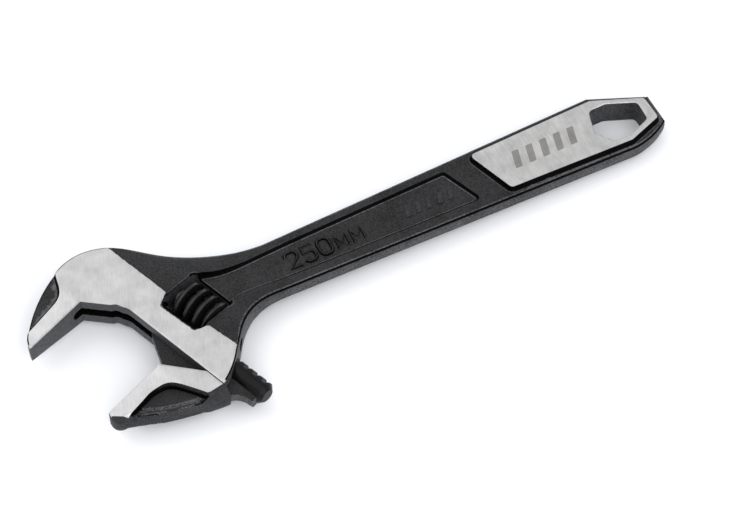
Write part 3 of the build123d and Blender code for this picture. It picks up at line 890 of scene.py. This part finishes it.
# ---------------------------------------------------------------- the worm and the marks
def adjusting_worm(material):
    """Knurled worm: a helical ridge on a core, cut square at both ends, bored for its pin and spring."""
    rows_a_turn = 16
    row = WORM_PITCH / rows_a_turn
    first = WORM_Q[0] - WORM_PITCH
    rows = math.ceil((WORM_Q[1] - WORM_Q[0] + 1.6 * WORM_PITCH) / row)
    sizes = {"Pitch": WORM_PITCH, "Phase": WORM_PHASE_Q, "Radius": WORM_R, "Root Radius": WORM_ROOT_R,
             "Half Crest": CREST_WIDTH / 2, "Half Root": ROOT_WIDTH / 2, "Start": WORM_Q[0], "End": WORM_Q[1],
             "First Row": first, "Row Span": rows * row, "Rows": rows + 1, "Columns": 4 * KNURLS + 1,
             "Knurls": float(KNURLS), "Knurl Depth": KNURL_DEPTH, "Axis": WORM_P}
    tree, given = tree_with("worm_thread", sizes)
    grid = add(tree, "GeometryNodeMeshGrid", {"Size X": 2 * math.pi, "Size Y": 1.0,
                                              "Vertices X": given["Columns"], "Vertices Y": given["Rows"]})
    position = add(tree, "GeometryNodeInputPosition")
    spot = add(tree, "ShaderNodeSeparateXYZ", {0: position.outputs[0]})

    def work(operation, *values):
        inputs = dict(enumerate(values))
        return add(tree, "ShaderNodeMath", inputs, operation=operation).outputs[0]

    angle = spot.outputs["X"]
    share = work("ADD", spot.outputs["Y"], 0.5)
    climb = work("MULTIPLY", work("DIVIDE", angle, 2 * math.pi), given["Pitch"])
    along = work("SUBTRACT", work("MULTIPLY_ADD", share, given["Row Span"], given["First Row"]), climb)
    along = work("MAXIMUM", work("MINIMUM", along, given["End"]), given["Start"])
    turns = work("DIVIDE", work("SUBTRACT", work("ADD", along, climb), given["Phase"]), given["Pitch"])
    wrapped = work("SUBTRACT", work("FRACT", work("ADD", turns, 0.5)), 0.5)
    from_crest = work("MULTIPLY", work("ABSOLUTE", wrapped), given["Pitch"])
    flank = add(tree, "ShaderNodeMapRange", {"Value": from_crest, "From Min": given["Half Crest"],
                                             "From Max": given["Half Root"], "To Min": given["Radius"],
                                             "To Max": given["Root Radius"]})
    wave = work("MULTIPLY_ADD", work("COSINE", work("MULTIPLY", angle, given["Knurls"])), 0.5, 0.5)
    on_crest = work("LESS_THAN", from_crest, work("MULTIPLY", given["Half Crest"], 0.8))
    notch = work("MULTIPLY", work("MULTIPLY", wave, on_crest), given["Knurl Depth"])
    inside_ends = work("MULTIPLY", work("GREATER_THAN", share, 0.0001), work("LESS_THAN", share, 0.9999))
    reach = work("MULTIPLY", work("SUBTRACT", flank.outputs[0], notch), inside_ends)
    out = work("MULTIPLY_ADD", reach, work("COSINE", angle), given["Axis"])
    up = work("MULTIPLY", reach, work("SINE", angle))
    target = add(tree, "ShaderNodeCombineXYZ", {"X": out, "Y": along, "Z": up})
    moved = add(tree, "GeometryNodeSetPosition", {"Geometry": grid.outputs[0], "Position": target.outputs[0]})
    merged = add(tree, "GeometryNodeMergeByDistance", {"Geometry": moved.outputs[0], "Distance": 0.0005})
    real = add(tree, "GeometryNodeRealizeInstances", {"Geometry": merged.outputs[0]})
    coated = add(tree, "GeometryNodeSetMaterial", {"Geometry": real.outputs[0], "Material": material})
    add(tree, "NodeGroupOutput", {"Geometry": coated.outputs[0]})
    worm = grown("adjusting_worm_knurled", tree, sizes)
    seat_end = WORM_Q[0] + SEAT_DEPTH
    bore = lathe("bore", [(0, WORM_Q[0] - 1), (SEAT_R, WORM_Q[0] - 1), (SEAT_R, seat_end),
                          (PIN_R + RUNNING_FIT, seat_end), (PIN_R + RUNNING_FIT, WORM_Q[1] + 1),
                          (0, WORM_Q[1] + 1)], 48, 0)
    bore.data.transform(Matrix.Translation((WORM_P, 0, 0)))
    combine(worm, bore, "DIFFERENCE")
    worm.data.transform(TO_DRAWING)
    return worm


def size_mark():
    """Raised size mark on the panel floor, one for each side, drawn in plain round strokes."""
    curve = bpy.data.curves.new("size_mark", "CURVE")
    curve.dimensions = "3D"
    curve.bevel_depth = STROKE_R
    curve.bevel_resolution = 3
    curve.use_fill_caps = True
    for glyph, x, wide, tall in SIZE_MARK:
        line = curve.splines.new("POLY")
        line.use_cyclic_u = glyph == "0"
        line.points.add(len(STROKES[glyph]) - 1)
        for point, (u, v) in zip(line.points, STROKES[glyph]):
            point.co = (x + u * wide, MARK_FOOT_Y + v * tall, PANEL_HALF - STROKE_SUNK, 1)
    strokes = new_object("size_mark", curve, ())
    graph = bpy.context.evaluated_depsgraph_get()
    mesh = bpy.data.meshes.new_from_object(strokes.evaluated_get(graph))
    bpy.data.objects.remove(strokes)
    return both_sides("size_mark", mesh, SKIN_FINISH)


def both_sides(name, mesh, coat):
    """A mesh as a coated object, with a copy turned over for the other side of the handle."""
    corners, faces = [], []
    for turn in (Matrix.Identity(4), Matrix.Rotation(math.pi, 4, "X")):
        first = len(corners)
        corners += [tuple(turn @ v.co) for v in mesh.vertices]
        faces += [tuple(first + v for v in f.vertices) for f in mesh.polygons]
    joined_mesh = bpy.data.meshes.new(name)
    joined_mesh.from_pydata(corners, [], faces)
    mark = new_object(name, joined_mesh, (coat,))
    weld = mark.modifiers.new("weld", "WELD")
    weld.merge_threshold = 0.002
    return baked(mark)


def batch_bars():
    """A plain row of raised slanted bars near the panel's far end, for each side."""
    sizes = {"Count": 5, "Pitch": 4.4, "First": 105.8}
    outline = rounded([(-1.9, -2.4), (0.1, -2.4), (1.9, 2.4), (-0.1, 2.4)], 0.4, 0.4)
    bar = prism("bar", [tuple(v) for v in outline], 0.35, 0)
    bevel = bar.modifiers.new("bevel", "BEVEL")
    bevel.width = 0.18
    bevel.segments = 2
    baked(bar)
    bar.data.transform(Matrix.Translation((0, -0.6, PANEL_HALF + 0.1)))
    tree, given = tree_with("batch_bars", sizes)
    real = tool_row(tree, given, {"X": given["First"]}, {"X": given["Pitch"]})
    coated = add(tree, "GeometryNodeSetMaterial", {"Geometry": real.outputs[0], "Material": SIDE_FINISH})
    add(tree, "NodeGroupOutput", {"Geometry": coated.outputs[0]})
    bars = grown("batch_bars", tree, sizes, bar)
    mesh = bars.data
    bpy.data.objects.remove(bar)
    bpy.data.objects.remove(bars)
    return both_sides("raised_bars", mesh, SIDE_FINISH)


# ---------------------------------------------------------------- pieces and what they ride on
def place(piece, body, node, slot):
    """Puts a piece on its body, in place of a CAD node if one is named; its slot is not used."""
    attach(piece, body)
    if node:
        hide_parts(node)


body = finish_mesh(forged_body())
place(body, "body", "wrench_body", "forged_body")
jaw = finish_mesh(moving_jaw())
place(jaw, "jaw", "moving_jaw", "forged_jaw")
worm = finish_mesh(adjusting_worm(WORM_FINISH), 40)
place(worm, "worm", "adjusting_worm", "worm_steel")
place(finish_mesh(size_mark()), "body", None, "forged_body")
place(finish_mesh(batch_bars()), "body", None, "forged_body")
for node, material in (("worm_pin", PIN_FINISH), ("worm_spring", SPRING_FINISH)):
    part = frame["nodes"][node].data
    part.materials.clear()
    part.materials.append(material)


# ---------------------------------------------------------------- floor, light and camera
def stage_floor():
    """Pale floor through the wrench's three points of rest: the worm's underside and the pad's far end."""
    worm_low, worm_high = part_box("worm_pin")
    rest = Vector(((worm_low.x + worm_high.x) / 2, (worm_low.y + worm_high.y) / 2, 0))
    pad = next(m for m in frame["record"]["mounts"] if m["name"] == "pad_face")
    far_end = ORIGIN.x + MM * PAD[2][0]
    slope = pad["pos_m"][2] / (far_end - rest.x)
    half = 4.0
    square = ((-half, -half), (half, -half), (half, half), (-half, half))
    mesh = bpy.data.meshes.new("floor")
    mesh.from_pydata([(x, y, slope * (x - rest.x)) for x, y in square], [], [(0, 1, 2, 3)])
    floor = new_object("floor", mesh, (FLOOR_FINISH,))


def soft_light(name, place, size, power):
    """Square soft box that faces the wrench."""
    lamp = bpy.data.lights.new(name, "AREA")
    lamp.shape = "SQUARE"
    lamp.size = size
    lamp.energy = power
    obj = bpy.data.objects.new(name, lamp)
    bpy.context.scene.collection.objects.link(obj)
    obj.location = place
    obj.rotation_euler = (-Vector(place)).to_track_quat("-Z", "Y").to_euler()


def aim_camera():
    """Long lens, well above the wrench on the side of its lower edge."""
    aim = ORIGIN + MM * Vector((85.02, -11.54, 0))
    elevation = math.radians(55)
    heading = math.radians(27.72)
    distance = 0.896
    level = distance * math.cos(elevation)
    away = Vector((-math.sin(heading) * level, -math.cos(heading) * level, distance * math.sin(elevation)))
    lens = bpy.data.cameras.new("camera")
    lens.sensor_width = 36.0
    lens.lens = 121.3
    lens.clip_start = 0.01
    obj = bpy.data.objects.new("camera", lens)
    bpy.context.scene.collection.objects.link(obj)
    obj.location = aim + away
    obj.rotation_euler = (-away).to_track_quat("-Z", "Y").to_euler()
    bpy.context.scene.camera = obj


stage_floor()
soft_light("key", (-0.5, 0.7, 1.0), 1.3, 4.5)
soft_light("front_fill", (0.1, -0.9, 0.8), 1.4, 9.0)
world = bpy.data.worlds.new("studio")
world.use_nodes = True
world.node_tree.nodes["Background"].inputs["Color"].default_value = linear("F7F8FA")
world.node_tree.nodes["Background"].inputs["Strength"].default_value = 1.0
bpy.context.scene.world = world
bpy.context.scene.view_settings.view_transform = "Standard"
aim_camera()
